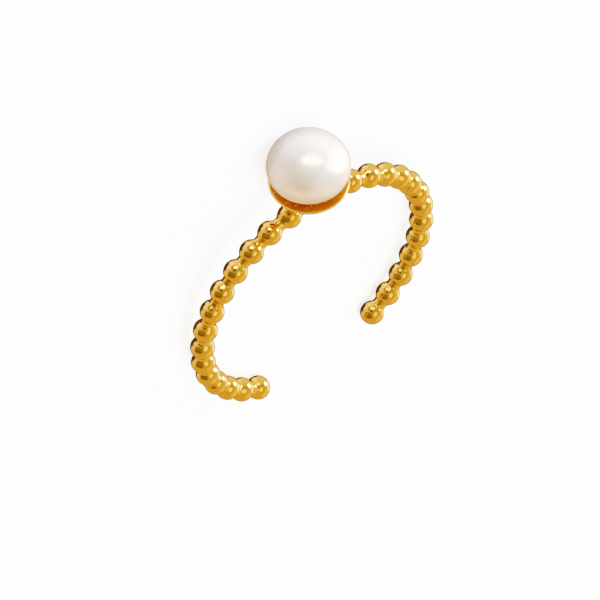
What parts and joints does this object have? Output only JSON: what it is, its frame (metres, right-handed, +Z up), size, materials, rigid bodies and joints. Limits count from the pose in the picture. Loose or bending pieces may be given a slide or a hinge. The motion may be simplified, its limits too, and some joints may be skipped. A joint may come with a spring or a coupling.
{
  "type": "open beaded ring with a pearl",
  "caption": "Open finger ring: a round row of equal metal beads joined by short necks, with a gap at the back and a button pearl in a shallow cup on the middle bead.",
  "frame": {"origin": "centre of the underside of the ring's bounding box, on the surface that the ring lies on", "axes": "+Z up; the ring lies on its side; -Y towards the pearl, +Y towards the gap in the band; X across, the same on both sides"},
  "size_m": [0.021, 0.025, 0.0059],
  "materials": {
    "gold": "polished gold plate, mirror bright",
    "pearl": "white nacre with a soft satin lustre"
  },
  "bodies": {
    "root": {"beaded_band": "gold", "pearl": "pearl"}
  },
  "joints": []
}
